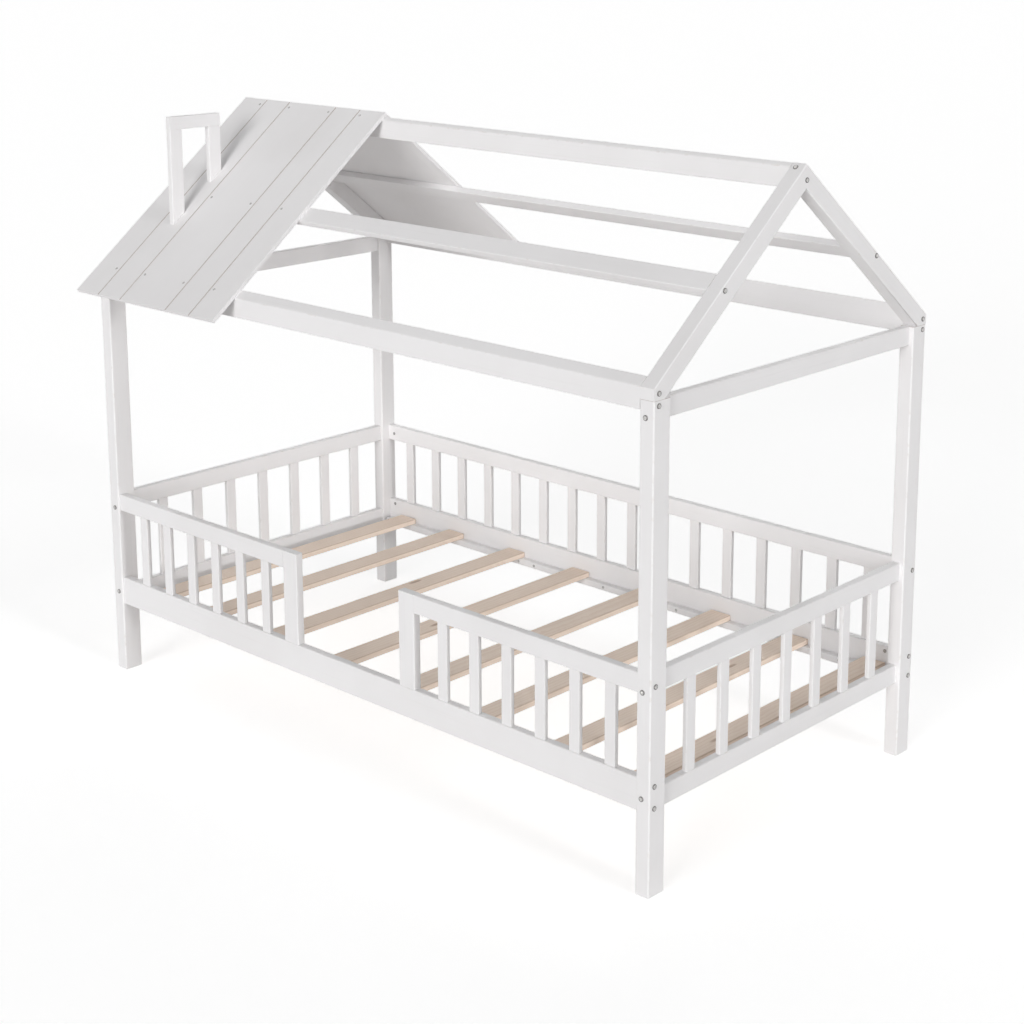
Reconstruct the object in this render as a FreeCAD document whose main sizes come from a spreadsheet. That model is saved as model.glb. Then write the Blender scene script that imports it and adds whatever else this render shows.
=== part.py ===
import FreeCAD, Part

import math
import os
import re

import Sketcher
from FreeCAD import Placement, Rotation, Vector

# House frame bed: a low slatted child's bed inside an open timber house outline.
# Millimetres. X runs along the bed (head end at -X), Y across it (entrance at -Y),
# Z up from the floor. The origin is on the floor under the middle of the bed.

os.makedirs("parts", exist_ok=True)
doc = FreeCAD.newDocument("house_frame_bed")

# ---------------------------------------------------------------- driving dimensions

SIZES = {
    # overall frame
    "bed_length": 2000,
    "bed_width": 1056,
    "roof_rise": 425,
    # posts
    "post_thick": 40,
    "post_wide": 55,
    "post_height": 1142,
    "post_round": 4,
    "foot_chamfer": 3,
    # roof frame
    "nose_high": 27,
    "rafter_depth": 45,
    "rafter_round": 3,
    "ridge_thick": 22,
    "ridge_depth": 58,
    "eave_thick": 24,
    "eave_drop": 24,
    "purlin_wide": 50,
    "purlin_thick": 18,
    "purlin_from_ridge": 348,
    "tie_thick": 22,
    "tie_depth": 48,
    # roof panels at the head end
    "panel_length": 600,
    "panel_thick": 10,
    "panel_overhang": 88,
    "board_width": 100,
    "groove_wide": 4,
    "groove_deep": 2,
    # chimney
    "chimney_wide": 170,
    "chimney_thick": 18,
    "chimney_leg_wide": 40,
    "chimney_bar_high": 36,
    "chimney_below_ridge": 4,
    "chimney_from_end": 142,
    "chimney_from_ridge": 219,
    # rails
    "rail_thick": 22,
    "rail_chamfer": 2,
    "side_inset": 5,
    "end_inset": 12,
    "rail_bottom": 200,
    "side_rail_high": 80,
    "end_rail_high": 50,
    "guard_bottom": 478,
    "guard_high": 48,
    # entrance
    "entrance_wide": 384,
    "stile_wide": 54,
    # balusters
    "baluster_wide": 32,
    "baluster_thick": 12,
    "baluster_chamfer": 1.5,
    "baluster_set_back": 3,
    "mortise_deep": 10,
    "mortise_gap": 0.2,
    "tenon_end_gap": 1,
    "back_baluster_count": 16,
    "back_baluster_from_post": 88.5,
    "end_baluster_count": 7,
    "end_baluster_from_post": 107,
    "front_baluster_count": 6,
    "left_baluster_from_post": 104,
    "left_baluster_from_stile": 80,
    "right_baluster_from_stile": 95,
    "right_baluster_from_post": 84,
    # ledgers and slats
    "ledger_wide": 20,
    "ledger_high": 20,
    "ledger_end_gap": 4,
    "slat_wide": 68,
    "slat_thick": 16,
    "small_chamfer": 1.5,
    "slat_end_gap": 3,
    "slat_first_from_head": 129,
    "slat_second_from_head": 347,
    "slat_seventh_from_foot": 340,
    "slat_last_from_foot": 95,
    # frame bolts, driven along X and along Y, with barrel nuts in the long rails
    "bolt_thick": 6,
    "bolt_head_wide": 13,
    "bolt_head_high": 2.5,
    "bolt_socket": 5,
    "bolt_socket_deep": 2,
    "bolt_reach": 34,
    "bolt_hole_gap": 0.5,
    "nut_thick": 10,
    "nut_long": 16,
    "nut_from_post": 25,
    "nut_hole_gap": 0.3,
    "guard_bolt_up": 22,
    "upper_rail_bolt_up": 66,
    "lower_rail_bolt_up": 14,
    "end_guard_bolt_up": 7,
    "end_rail_bolt_up": 35,
    "tie_bolt_up": 9,
    "nose_bolt_up": 15,
    "post_top_bolt_down": 12,
    "eave_bolt_inset": 15,
    "ridge_bolt_down": 37,
    "purlin_bolt_inset": 37,
    "mitre_bolt_from_ridge": 15,
    "mitre_bolt_long": 42,
}

sheet = doc.addObject("Spreadsheet::Sheet", "sizes")
for row, (alias, number) in enumerate(SIZES.items(), start=1):
    sheet.set(f"A{row}", alias)
    sheet.set(f"B{row}", str(number))
    sheet.setAlias(f"B{row}", alias)
doc.recompute()

# Lengths and heights that follow from the driving dimensions.
HALF_LENGTH = "(bed_length / 2)"
HALF_WIDTH = "(bed_width / 2)"
EAVE_HEIGHT = "(post_height + nose_high)"
RIDGE_HEIGHT = "(post_height + nose_high + roof_rise)"
RISE = f"(roof_rise / {HALF_WIDTH})"
SECANT = f"sqrt(1 + {RISE} ^ 2)"
POST_FACE_X = f"({HALF_LENGTH} - post_thick)"
POST_FACE_Y = f"({HALF_WIDTH} - post_wide)"
SIDE_RAIL_MIDDLE = f"({HALF_WIDTH} - side_inset - rail_thick / 2)"
SIDE_RAIL_INNER = f"({HALF_WIDTH} - side_inset - rail_thick)"
END_RAIL_MIDDLE = f"({HALF_LENGTH} - end_inset - rail_thick / 2)"
TIE_MIDDLE = f"({HALF_LENGTH} - end_inset - tie_thick / 2)"
SIDE_RAIL_TOP = "(rail_bottom + side_rail_high)"
END_RAIL_TOP = "(rail_bottom + end_rail_high)"
GUARD_TOP = "(guard_bottom + guard_high)"
LEDGER_TOP = "(rail_bottom + ledger_high)"
STILE_INNER = "(entrance_wide / 2)"
STILE_OUTER = "(entrance_wide / 2 + stile_wide)"
BOLT_HOLE = "(bolt_thick + bolt_hole_gap)"
NUT_HOLE = "(nut_thick + nut_hole_gap)"
EAVE_BOLT_Y = f"({HALF_WIDTH} - eave_bolt_inset)"
PURLIN_BOLT = "(purlin_from_ridge + purlin_bolt_inset)"
SLOPE_LENGTH = f"({HALF_WIDTH} * {SECANT})"
HEAD_END = f"(-{HALF_LENGTH})"
NUT_X = f"({POST_FACE_X} - nut_from_post)"

# Heights of the frame bolts, from the timber that each one holds.
GUARD_BOLT = "(guard_bottom + guard_bolt_up)"
UPPER_RAIL_BOLT = "(rail_bottom + upper_rail_bolt_up)"
LOWER_RAIL_BOLT = "(rail_bottom + lower_rail_bolt_up)"
END_GUARD_BOLT = "(guard_bottom + end_guard_bolt_up)"
END_RAIL_BOLT = "(rail_bottom + end_rail_bolt_up)"
TIE_BOLT = "(post_height - tie_depth + tie_bolt_up)"
NOSE_BOLT = "(post_height + nose_bolt_up)"
POST_TOP_BOLT = "(post_height - post_top_bolt_down)"
RIDGE_BOLT = f"({RIDGE_HEIGHT} - ridge_bolt_down)"


def roof_height(distance):
    """Height of the roof plane at a level distance from the ridge."""
    return f"({RIDGE_HEIGHT} - ({distance}) * {RISE})"


def slope_y(along, above="0"):
    """Level distance from the ridge of a point given along the slope and above it."""
    return f"(({along}) / {SECANT} + ({above}) * {RISE} / {SECANT})"


def slope_z(along, above="0"):
    """Height of a point given along the slope from the ridge and above the slope."""
    return f"({RIDGE_HEIGHT} - ({along}) * {RISE} / {SECANT} + ({above}) / {SECANT})"


# ---------------------------------------------------------------- modelling helpers

NORMALS = {"X": ("YZ_Plane", 1), "Y": ("XZ_Plane", -1), "Z": ("XY_Plane", 1)}
AXES = {"X": Vector(1, 0, 0), "Y": Vector(0, 1, 0), "Z": Vector(0, 0, 1)}
SIDES = {"front": -1, "back": 1}
ENDS = {"left": -1, "right": 1}


def in_sheet(text):
    """Point every size named in an expression at its cell of the sheet."""
    return re.sub(r"[a-z]\w+", lambda word: f"sizes.{word[0]}" if word[0] in SIZES else word[0], text)


def value(text):
    """The present value of an expression."""
    result = sheet.evalExpression(in_sheet(text))
    return float(getattr(result, "Value", result))


def bind(item, path, text):
    item.setExpression(path, in_sheet(text))


def signed(sign, text):
    return text if sign > 0 else f"(-({text}))"


def new_body(label):
    body = doc.addObject("PartDesign::Body", label)
    body.Label = label
    body.AllowCompound = True
    return body


def sketch(body, normal, start="0", slope_side=0):
    """A sketch square to an axis at a distance along it, or lying on a roof slope."""
    role, facing = NORMALS[normal]
    plane = next(item for item in body.Origin.OriginFeatures if item.Role == role)
    drawing = body.newObject("Sketcher::SketchObject", f"{body.Name}_sketch")
    drawing.AttachmentSupport = [(plane, "")]
    drawing.MapMode = "FlatFace"
    if slope_side:
        drawing.AttachmentOffset = Placement(Vector(0, 0, 1), Rotation(Vector(1, 0, 0), 1))
        bind(drawing, "AttachmentOffset.Base.z", RIDGE_HEIGHT)
        bind(drawing, "AttachmentOffset.Rotation.Angle", signed(-slope_side, f"atan({RISE})"))
    elif start != "0":
        bind(drawing, "AttachmentOffset.Base.z", signed(facing, start))
    return drawing


def constrain(drawing, geometry, point, across, up):
    for kind, text in (("DistanceX", across), ("DistanceY", up)):
        number = drawing.addConstraint(Sketcher.Constraint(kind, geometry, point, value(text)))
        bind(drawing, f"Constraints[{number}]", text)


def polygon(drawing, points):
    """A closed outline whose corners are held at sheet expressions."""
    corners = [Vector(value(across), value(up), 0) for across, up in points]
    first = drawing.GeometryCount
    count = len(corners)
    for place, corner in enumerate(corners):
        drawing.addGeometry(Part.LineSegment(corner, corners[(place + 1) % count]))
    for place in range(count):
        following = first + (place + 1) % count
        drawing.addConstraint(Sketcher.Constraint("Coincident", first + place, 2, following, 1))
    for place, (across, up) in enumerate(points):
        constrain(drawing, first + place, 1, across, up)


def rectangle(drawing, across_low, across_high, up_low, up_high):
    polygon(drawing, [
        (across_low, up_low), (across_high, up_low),
        (across_high, up_high), (across_low, up_high),
    ])


def corners_round(diameter, across="0", up="0", sides=8):
    """Corners of a regular outline that a circle of the given diameter just fits in."""
    corners = []
    for place in range(sides):
        turn = math.radians((place + 0.5) * 360 / sides)
        reach = 1 / math.cos(math.pi / sides) / 2
        corners.append((
            f"({across} + {reach * math.cos(turn):.6f} * {diameter})",
            f"({up} + {reach * math.sin(turn):.6f} * {diameter})",
        ))
    return corners


def drill_marks(drawing, centres, diameter):
    """Drilled holes, drawn eight-sided about the drill to keep the part light."""
    for across, up in centres:
        polygon(drawing, corners_round(diameter, across, up))


def pad(body, drawing, length, midplane=False, backwards=False):
    feature = body.newObject("PartDesign::Pad", f"{body.Name}_pad")
    feature.Profile = drawing
    feature.Midplane = midplane
    feature.Reversed = backwards
    bind(feature, "Length", length)
    doc.recompute()
    return feature


def cut(body, drawing, depth=None, backwards=False):
    """Cut a sketch to a depth, or right through both ways, and see that wood went."""
    before = body.Tip.Shape.Volume
    feature = body.newObject("PartDesign::Pocket", f"{body.Name}_cut")
    feature.Profile = drawing
    if depth is None:
        feature.Type = "ThroughAll"
        feature.Midplane = True
    else:
        feature.Type = "Length"
        feature.Reversed = backwards
        bind(feature, "Length", depth)
    doc.recompute()
    if not feature.Shape.Volume < before:
        raise RuntimeError(f"{body.Label}: a cut took nothing away")
    return feature


def bore(body, normal, centres, diameter, start=None, depth=None, toward=1):
    """Holes along an axis: right through, or from a face to a depth."""
    drawing = sketch(body, normal, start or "0")
    drill_marks(drawing, centres, diameter)
    facing = NORMALS[normal][1]
    return cut(body, drawing, depth, backwards=(toward == facing))


def edge_names(shape, wanted):
    return [f"Edge{number}" for number, edge in enumerate(shape.Edges, start=1) if wanted(edge)]


def runs_along(direction):
    return lambda edge: abs(edge.tangentAt(edge.FirstParameter).dot(direction)) > 0.999


def soften(body, size, wanted, kind):
    base = body.Tip
    feature = body.newObject(f"PartDesign::{kind}", f"{body.Name}_soft")
    feature.Base = (base, edge_names(base.Shape, wanted))
    bind(feature, "Radius" if kind == "Fillet" else "Size", size)
    doc.recompute()
    return feature


def repeat(body, features, axis, pitch, count):
    pattern = body.newObject("PartDesign::LinearPattern", f"{body.Name}_row")
    pattern.Originals = features
    line = next(item for item in body.Origin.OriginFeatures if item.Role == f"{axis}_Axis")
    pattern.Direction = (line, [""])
    pattern.Mode = "Spacing"
    bind(pattern, "Offset", pitch)
    bind(pattern, "Occurrences", count)
    body.Tip = pattern
    doc.recompute()
    return pattern


def beam(label, normal, points, length, chamfer, start=None):
    """A straight timber: an outline run along an axis, with its long edges broken."""
    body = new_body(label)
    drawing = sketch(body, normal, start or "0")
    polygon(drawing, points)
    pad(body, drawing, length, midplane=start is None)
    soften(body, chamfer, runs_along(AXES[normal]), "Chamfer")
    return body


def box_points(side, near, far, low, high):
    """Corners of a board's section, mirrored to the front or back, left or right."""
    return [
        (signed(side, near), low), (signed(side, far), low),
        (signed(side, far), high), (signed(side, near), high),
    ]


# ---------------------------------------------------------------- posts

for side_name, side in SIDES.items():
    for end_name, end in ENDS.items():
        post = new_body(f"post_{side_name}_{end_name}")
        plan = sketch(post, "Z")
        rectangle(
            plan, signed(end, POST_FACE_X), signed(end, HALF_LENGTH),
            signed(side, POST_FACE_Y), signed(side, HALF_WIDTH),
        )
        pad(post, plan, "post_height")
        soften(post, "post_round", runs_along(AXES["Z"]), "Fillet")
        soften(post, "foot_chamfer", lambda edge: edge.BoundBox.ZMax < 0.01, "Chamfer")
        bore(post, "X", [
            (signed(side, SIDE_RAIL_MIDDLE), GUARD_BOLT),
            (signed(side, SIDE_RAIL_MIDDLE), UPPER_RAIL_BOLT),
            (signed(side, SIDE_RAIL_MIDDLE), LOWER_RAIL_BOLT),
            (signed(side, EAVE_BOLT_Y), POST_TOP_BOLT),
        ], BOLT_HOLE)
        bore(post, "Y", [
            (signed(end, END_RAIL_MIDDLE), END_GUARD_BOLT),
            (signed(end, END_RAIL_MIDDLE), END_RAIL_BOLT),
            (signed(end, TIE_MIDDLE), TIE_BOLT),
        ], BOLT_HOLE)

# ---------------------------------------------------------------- long rails and fences

SIDE_RAIL_LENGTH = f"(2 * {POST_FACE_X})"
BALUSTER_OUTER = f"({HALF_WIDTH} - side_inset - baluster_set_back)"
BALUSTER_INNER = f"({BALUSTER_OUTER} - baluster_thick)"
END_BALUSTER_OUTER = f"({HALF_LENGTH} - end_inset - baluster_set_back)"
END_BALUSTER_INNER = f"({END_BALUSTER_OUTER} - baluster_thick)"


def even_row(low, low_gap, high, high_gap, count):
    """First place, pitch and count of a row spread evenly between two timbers."""
    first = f"({low} + {low_gap})"
    return first, f"(({high} - {high_gap} - {first}) / ({count} - 1))", count


BACK_ROW = even_row(
    signed(-1, POST_FACE_X), "back_baluster_from_post",
    POST_FACE_X, "back_baluster_from_post", "back_baluster_count",
)
END_ROW = even_row(
    signed(-1, POST_FACE_Y), "end_baluster_from_post",
    POST_FACE_Y, "end_baluster_from_post", "end_baluster_count",
)
LEFT_ROW = even_row(
    signed(-1, POST_FACE_X), "left_baluster_from_post",
    signed(-1, STILE_OUTER), "left_baluster_from_stile", "front_baluster_count",
)
RIGHT_ROW = even_row(
    STILE_OUTER, "right_baluster_from_stile",
    POST_FACE_X, "right_baluster_from_post", "front_baluster_count",
)


def mortises(body, row, along, height, toward, side):
    """A row of blind mortises for the balusters, sunk up or down into a rail."""
    first, pitch, count = row
    reach = "(baluster_wide / 2 + mortise_gap)"
    low, high = f"({first} - {reach})", f"({first} + {reach})"
    drawing = sketch(body, "Z", height)
    if along == "X":
        near, far = f"({BALUSTER_INNER} - mortise_gap)", f"({BALUSTER_OUTER} + mortise_gap)"
        rectangle(drawing, low, high, signed(side, near), signed(side, far))
    else:
        near = f"({END_BALUSTER_INNER} - mortise_gap)"
        far = f"({END_BALUSTER_OUTER} + mortise_gap)"
        rectangle(drawing, signed(side, near), signed(side, far), low, high)
    feature = cut(body, drawing, "mortise_deep", backwards=toward > 0)
    repeat(body, [feature], along, pitch, count)


def bolt_into_end(body, end, side, heights):
    """End bores and barrel-nut holes where a post is bolted to a long rail."""
    centres = [(signed(side, SIDE_RAIL_MIDDLE), height) for height in heights]
    bore(body, "X", centres, BOLT_HOLE, signed(end, POST_FACE_X), "bolt_reach", -end)
    nuts = [(signed(end, NUT_X), height) for height in heights]
    bore(body, "Y", nuts, NUT_HOLE, signed(side, SIDE_RAIL_INNER), "nut_long", side)


def long_rail(label, side, low, high, start=None, length=SIDE_RAIL_LENGTH):
    near, far = SIDE_RAIL_INNER, f"({HALF_WIDTH} - side_inset)"
    points = box_points(side, near, far, low, high)
    return beam(label, "X", points, length, "rail_chamfer", start)


RAIL_BOLTS = [UPPER_RAIL_BOLT, LOWER_RAIL_BOLT]
ROWS = {"front": [LEFT_ROW, RIGHT_ROW], "back": [BACK_ROW]}

for side_name, side in SIDES.items():
    rail = long_rail(f"side_rail_{side_name}", side, "rail_bottom", SIDE_RAIL_TOP)
    for end in ENDS.values():
        bolt_into_end(rail, end, side, RAIL_BOLTS)
    for row in ROWS[side_name]:
        mortises(rail, row, "X", SIDE_RAIL_TOP, -1, side)

guard_back = long_rail("guard_rail_back", 1, "guard_bottom", GUARD_TOP)
for end in ENDS.values():
    bolt_into_end(guard_back, end, 1, [GUARD_BOLT])
mortises(guard_back, BACK_ROW, "X", "guard_bottom", 1, 1)

FRONT_GUARD_LENGTH = f"({POST_FACE_X} - {STILE_OUTER})"
for end_name, end in ENDS.items():
    start = f"(-{POST_FACE_X})" if end < 0 else STILE_OUTER
    label = f"guard_rail_front_{end_name}"
    guard = long_rail(label, -1, "guard_bottom", GUARD_TOP, start, FRONT_GUARD_LENGTH)
    bolt_into_end(guard, end, -1, [GUARD_BOLT])
    mortises(guard, LEFT_ROW if end < 0 else RIGHT_ROW, "X", "guard_bottom", 1, -1)

# Stiles stand on the front rail at each side of the entrance.
for end_name, end in ENDS.items():
    stile = new_body(f"stile_{end_name}")
    plan = sketch(stile, "Z", SIDE_RAIL_TOP)
    rectangle(
        plan, signed(end, STILE_INNER), signed(end, STILE_OUTER),
        f"(-({HALF_WIDTH} - side_inset))", f"(-{SIDE_RAIL_INNER})",
    )
    pad(stile, plan, f"({GUARD_TOP} - {SIDE_RAIL_TOP})")
    soften(stile, "small_chamfer", runs_along(AXES["Z"]), "Chamfer")

# ---------------------------------------------------------------- end rails and tie beams

END_SPAN = f"(2 * {POST_FACE_Y})"


def cross_rail(label, end, thick, low, high, bolt_height):
    near = f"({HALF_LENGTH} - end_inset - {thick})"
    points = box_points(end, near, f"({HALF_LENGTH} - end_inset)", low, high)
    body = beam(label, "Y", points, END_SPAN, "rail_chamfer")
    middle = f"({HALF_LENGTH} - end_inset - {thick} / 2)"
    for side in SIDES.values():
        centre = [(signed(end, middle), bolt_height)]
        bore(body, "Y", centre, BOLT_HOLE, signed(side, POST_FACE_Y), "bolt_reach", -side)
    return body


for end_name, end in ENDS.items():
    lower = cross_rail(
        f"end_rail_{end_name}", end, "rail_thick", "rail_bottom", END_RAIL_TOP, END_RAIL_BOLT,
    )
    mortises(lower, END_ROW, "Y", END_RAIL_TOP, -1, end)
    upper = cross_rail(
        f"guard_rail_{end_name}", end, "rail_thick", "guard_bottom", GUARD_TOP, END_GUARD_BOLT,
    )
    mortises(upper, END_ROW, "Y", "guard_bottom", 1, end)
    cross_rail(
        f"tie_beam_{end_name}", end, "tie_thick", "(post_height - tie_depth)", "post_height",
        TIE_BOLT,
    )

# ---------------------------------------------------------------- balusters


def balusters(label, row, along, side, rail_top):
    """A fence's balusters, each standing on the floor of its mortises."""
    first, pitch, count = row
    low, high = f"({first} - baluster_wide / 2)", f"({first} + baluster_wide / 2)"
    foot = f"({rail_top} - mortise_deep)"
    body = new_body(label)
    plan = sketch(body, "Z", foot)
    if along == "X":
        rectangle(plan, low, high, signed(side, BALUSTER_INNER), signed(side, BALUSTER_OUTER))
    else:
        rectangle(plan, signed(side, END_BALUSTER_INNER), signed(side, END_BALUSTER_OUTER), low, high)
    shaft = pad(body, plan, f"(guard_bottom + mortise_deep - tenon_end_gap - {foot})")
    rounding = soften(body, "baluster_chamfer", runs_along(AXES["Z"]), "Chamfer")
    repeat(body, [shaft, rounding], along, pitch, count)


balusters("balusters_back", BACK_ROW, "X", 1, SIDE_RAIL_TOP)
balusters("balusters_front_left", LEFT_ROW, "X", -1, SIDE_RAIL_TOP)
balusters("balusters_front_right", RIGHT_ROW, "X", -1, SIDE_RAIL_TOP)
for end_name, end in ENDS.items():
    balusters(f"balusters_{end_name}", END_ROW, "Y", end, END_RAIL_TOP)

# ---------------------------------------------------------------- ledgers and slats

LEDGER_INNER = f"({SIDE_RAIL_INNER} - ledger_wide)"

for side_name, side in SIDES.items():
    points = box_points(side, LEDGER_INNER, SIDE_RAIL_INNER, "rail_bottom", LEDGER_TOP)
    length = f"({SIDE_RAIL_LENGTH} - 2 * ledger_end_gap)"
    beam(f"ledger_{side_name}", "X", points, length, "small_chamfer")

INNER_SLAT_STEP = "((bed_length - slat_second_from_head - slat_seventh_from_foot) / 5)"
slat_places = [f"({HEAD_END} + slat_first_from_head)"]
for step in range(6):
    slat_places.append(f"({HEAD_END} + slat_second_from_head + {step} * {INNER_SLAT_STEP})")
slat_places.append(f"({HALF_LENGTH} - slat_last_from_foot)")

for number, place in enumerate(slat_places, start=1):
    low, high = f"({place} - slat_wide / 2)", f"({place} + slat_wide / 2)"
    section = [
        (low, LEDGER_TOP), (high, LEDGER_TOP),
        (high, f"({LEDGER_TOP} + slat_thick)"), (low, f"({LEDGER_TOP} + slat_thick)"),
    ]
    length = f"(2 * ({SIDE_RAIL_INNER} - slat_end_gap))"
    beam(f"slat_{number}", "Y", section, length, "small_chamfer")

# ---------------------------------------------------------------- roof frame

RAFTER_DROP = f"(rafter_depth * {SECANT})"
RAFTER_HEEL = f"((nose_high + roof_rise - {RAFTER_DROP}) / {RISE})"

for side_name, side in SIDES.items():
    for end_name, end in ENDS.items():
        # Nose standing plumb over the post, heel cut level on the post top, mitre plumb
        # at the ridge.
        section = [
            ("0", RIDGE_HEIGHT), (signed(side, HALF_WIDTH), EAVE_HEIGHT),
            (signed(side, HALF_WIDTH), "post_height"), (signed(side, RAFTER_HEEL), "post_height"),
            ("0", f"({RIDGE_HEIGHT} - {RAFTER_DROP})"),
        ]
        rafter = new_body(f"rafter_{side_name}_{end_name}")
        drawing = sketch(rafter, "X", signed(end, POST_FACE_X))
        polygon(drawing, section)
        pad(rafter, drawing, "post_thick", backwards=end < 0)
        slope = Vector(0, value(HALF_WIDTH), -side * value("roof_rise")).normalize()
        soften(rafter, "rafter_round", runs_along(slope), "Fillet")
        bore(rafter, "X", [
            (signed(side, EAVE_BOLT_Y), NOSE_BOLT),
            (signed(side, slope_y(PURLIN_BOLT, "(-purlin_thick / 2)")),
             slope_z(PURLIN_BOLT, "(-purlin_thick / 2)")),
            ("0", RIDGE_BOLT),
        ], BOLT_HOLE)
        if end > 0:
            # The mitre bolt runs square to the front slope, through one rafter into the other.
            drawing = sketch(rafter, "Z", slope_side=-1)
            drill_marks(drawing, [(TIE_MIDDLE, "(-mitre_bolt_from_ridge)")], BOLT_HOLE)
            cut(rafter, drawing, "mitre_bolt_long")


def bolt_beam_ends(body, centres):
    for end in ENDS.values():
        bore(body, "X", centres, BOLT_HOLE, signed(end, POST_FACE_X), "bolt_reach", -end)


EAVE_BOTTOM = "(post_height - eave_drop)"
half_ridge = "(ridge_thick / 2)"
ridge = beam("ridge_beam", "X", [
    (signed(-1, half_ridge), f"({RIDGE_HEIGHT} - ridge_depth)"),
    (half_ridge, f"({RIDGE_HEIGHT} - ridge_depth)"),
    (half_ridge, roof_height(half_ridge)),
    ("0", RIDGE_HEIGHT),
    (signed(-1, half_ridge), roof_height(half_ridge)),
], SIDE_RAIL_LENGTH, "small_chamfer")
bolt_beam_ends(ridge, [("0", RIDGE_BOLT)])

for side_name, side in SIDES.items():
    inner = f"({HALF_WIDTH} - eave_thick)"
    eave = beam(f"eave_beam_{side_name}", "X", [
        (signed(side, HALF_WIDTH), EAVE_BOTTOM), (signed(side, inner), EAVE_BOTTOM),
        (signed(side, inner), roof_height(inner)), (signed(side, HALF_WIDTH), EAVE_HEIGHT),
    ], SIDE_RAIL_LENGTH, "small_chamfer")
    bolt_beam_ends(eave, [
        (signed(side, EAVE_BOLT_Y), NOSE_BOLT),
        (signed(side, EAVE_BOLT_Y), POST_TOP_BOLT),
    ])


def lay_on_slope(body, side):
    """Turn a piece drawn level at the ridge onto the front or back slope."""
    body.Placement = Placement(Vector(0, 0, 1), Rotation(AXES["X"], 1))
    bind(body, "Placement.Base.z", RIDGE_HEIGHT)
    bind(body, "Placement.Rotation.Angle", signed(-side, f"atan({RISE})"))
    doc.recompute()


for side_name, side in SIDES.items():
    points = box_points(
        side, "purlin_from_ridge", "(purlin_from_ridge + purlin_wide)", "(-purlin_thick)", "0",
    )
    purlin = beam(
        f"purlin_{side_name}", "X", points, SIDE_RAIL_LENGTH, "small_chamfer",
    )
    bolt_beam_ends(purlin, [(signed(side, PURLIN_BOLT), "(-purlin_thick / 2)")])
    lay_on_slope(purlin, side)

# ---------------------------------------------------------------- roof panels and chimney

GROOVES = [f"({HEAD_END} + {boards} * board_width)" for boards in (1, 2, 4, 5)]
PANEL_END = f"({HEAD_END} + panel_length)"
PLUMB_LEAN = f"(panel_thick * {RISE})"

for side_name, side in SIDES.items():
    # Boards with V grooves between them, run down the slope from a plumb mitre at the ridge.
    panel = new_body(f"roof_panel_{side_name}")
    profile = [(HEAD_END, "0"), (PANEL_END, "0"), (PANEL_END, "panel_thick")]
    for groove in reversed(GROOVES):
        profile.append((f"({groove} + groove_wide / 2)", "panel_thick"))
        profile.append((groove, "(panel_thick - groove_deep)"))
        profile.append((f"({groove} - groove_wide / 2)", "panel_thick"))
    profile.append((HEAD_END, "panel_thick"))
    uphill = signed(-side, PLUMB_LEAN)
    drawing = sketch(panel, "Y", uphill)
    polygon(drawing, profile)
    pad(panel, drawing, f"({PLUMB_LEAN} + {SLOPE_LENGTH} + panel_overhang)", backwards=side > 0)
    wedge = sketch(panel, "X")
    polygon(wedge, [("0", "0"), (uphill, "0"), (uphill, "panel_thick")])
    cut(panel, wedge)
    lay_on_slope(panel, side)


def panel_top(distance):
    return f"({roof_height(distance)} + panel_thick * {SECANT})"


CHIMNEY_TOP = f"({RIDGE_HEIGHT} - chimney_below_ridge)"
BAR_BOTTOM = f"({CHIMNEY_TOP} - chimney_bar_high)"
CHIMNEY_FAR = "(chimney_from_ridge + chimney_wide)"
CHIMNEY_START = f"({HEAD_END} + chimney_from_end)"
LEG_SPANS = {
    "front": (f"({CHIMNEY_FAR} - chimney_leg_wide)", CHIMNEY_FAR),
    "back": ("chimney_from_ridge", "(chimney_from_ridge + chimney_leg_wide)"),
}

for leg_name, (near, far) in LEG_SPANS.items():
    beam_points = [
        (f"(-{far})", panel_top(far)), (f"(-{near})", panel_top(near)),
        (f"(-{near})", BAR_BOTTOM), (f"(-{far})", BAR_BOTTOM),
    ]
    leg = new_body(f"chimney_leg_{leg_name}")
    drawing = sketch(leg, "X", CHIMNEY_START)
    polygon(drawing, beam_points)
    pad(leg, drawing, "chimney_thick")
    soften(leg, "small_chamfer", runs_along(AXES["Z"]), "Chamfer")

bar = new_body("chimney_top_bar")
drawing = sketch(bar, "X", CHIMNEY_START)
rectangle(drawing, f"(-{CHIMNEY_FAR})", "(-chimney_from_ridge)", BAR_BOTTOM, CHIMNEY_TOP)
pad(bar, drawing, "chimney_thick")
soften(bar, "small_chamfer", lambda edge: edge.BoundBox.ZMin > value(CHIMNEY_TOP) - 0.01, "Chamfer")

# ---------------------------------------------------------------- fasteners


def point(across, deep, up):
    return Vector(value(across), value(deep), value(up))


def prism(diameter, low, high, sides=8):
    """An upright regular prism about the Z axis that fits a circle of the given diameter."""
    corners = [point(across, up, "0") for across, up in corners_round(diameter, sides=sides)]
    shrink = math.cos(math.pi / sides)
    ring = [Vector(shrink * corner.x, shrink * corner.y, low) for corner in corners]
    outline = Part.makePolygon(ring + ring[:1])
    return Part.Face(outline).extrude(Vector(0, 0, high - low))


def bolt(length):
    """A hex-socket bolt with its head standing on the face at the origin."""
    top = value("bolt_head_high")
    head = prism("bolt_head_wide", 0, top, sides=12)
    shank = prism("bolt_thick", -length, 0)
    socket = prism("(bolt_socket * 2 / sqrt(3))", top - value("bolt_socket_deep"), top, sides=6)
    return head.fuse(shank).cut(socket)


def barrel_nut():
    """A barrel nut lying along its hole from the origin, with a cross hole for the bolt."""
    body = prism("nut_thick", -value("nut_long"), 0)
    cross = prism(BOLT_HOLE, -value("nut_thick"), value("nut_thick"), sides=6)
    cross.Placement = Placement(point("0", "0", "(-rail_thick / 2)"), Rotation(AXES["Z"], AXES["X"]))
    return body.cut(cross)


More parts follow.
